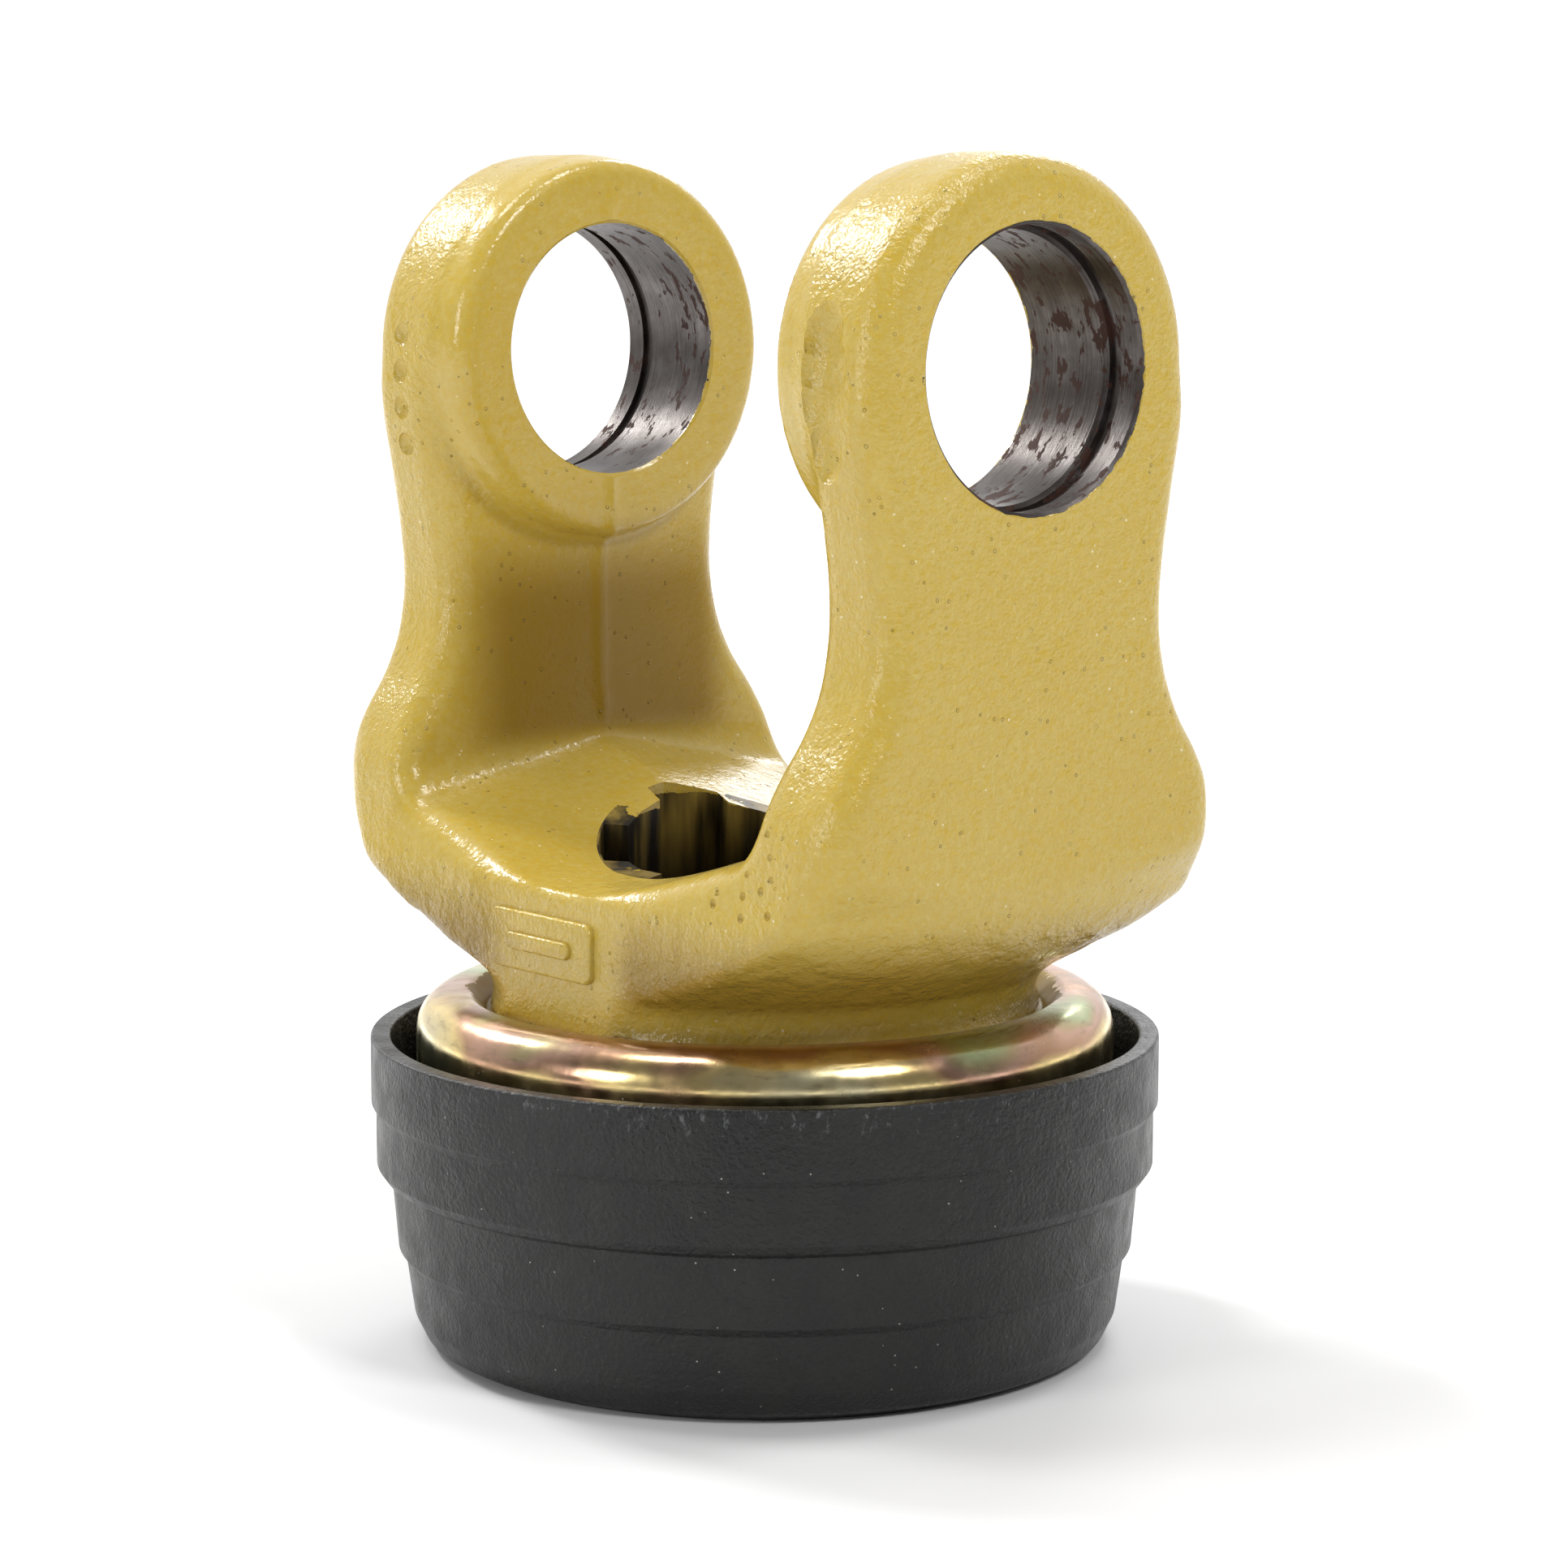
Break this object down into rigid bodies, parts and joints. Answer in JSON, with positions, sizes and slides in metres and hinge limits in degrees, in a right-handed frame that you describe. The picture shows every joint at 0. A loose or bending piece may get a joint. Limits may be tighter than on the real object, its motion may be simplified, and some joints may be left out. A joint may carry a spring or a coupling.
{
  "type": "quick-disconnect driveline yoke",
  "caption": "Forged universal joint yoke with a splined hub, and a spring-loaded plastic pull ring that works the ball lock on its shaft.",
  "frame": {"origin": "on the shaft's axis, at the foot of the pull ring that the object stands on", "axes": "+Z along the shaft's axis from the hub towards the ears, Y along the two cross bores, X across the ears"},
  "size_m": [0.0834, 0.084, 0.1247],
  "materials": {
    "yellow_paint": "semi-gloss ochre yellow paint on a rough forging",
    "bright_steel": "polished hardened steel balls",
    "phosphated_steel": "dark phosphated and oiled steel",
    "yellow_chromate": "bright zinc plate with iridescent yellow chromate",
    "black_plastic": "satin black moulded plastic, finely grained"
  },
  "bodies": {
    "yoke": {"yoke": "yellow_paint", "spring_cap": "yellow_chromate", "spring": "phosphated_steel", "stop_washer": "phosphated_steel", "retaining_ring": "phosphated_steel"},
    "lock_collar": {"locking_ring": "phosphated_steel"},
    "pull_ring": {"pull_ring": "black_plastic"},
    "ball_1": {"ball_1": "bright_steel"},
    "ball_2": {"ball_2": "bright_steel"},
    "ball_3": {"ball_3": "bright_steel"}
  },
  "joints": [
    {"name": "collar_slide", "type": "slide", "parent": "yoke", "child": "lock_collar", "axis": [0, 0, 1], "range_m": [0, 0.008], "stiffness_N_per_m": 5000, "springref_m": -0.012, "deforming": ["spring"]},
    {"name": "ring_spin", "type": "hinge", "parent": "lock_collar", "child": "pull_ring", "pos_m": [0, 0, 0], "axis": [0, 0, 1], "continuous": true},
    {"name": "ball_1_slide", "type": "slide", "parent": "yoke", "child": "ball_1", "axis": [0.9205, 0.3907, 0], "range_m": [0, 0.0028]},
    {"name": "ball_2_slide", "type": "slide", "parent": "yoke", "child": "ball_2", "axis": [-0.7986, 0.6018, 0], "range_m": [0, 0.0028]},
    {"name": "ball_3_slide", "type": "slide", "parent": "yoke", "child": "ball_3", "axis": [-0.1219, -0.9925, 0], "range_m": [0, 0.0028]}
  ],
  "couplings": [
    {"joint": "ball_1_slide", "follows": "collar_slide", "ratio": 0.35},
    {"joint": "ball_2_slide", "follows": "collar_slide", "ratio": 0.35},
    {"joint": "ball_3_slide", "follows": "collar_slide", "ratio": 0.35}
  ]
}
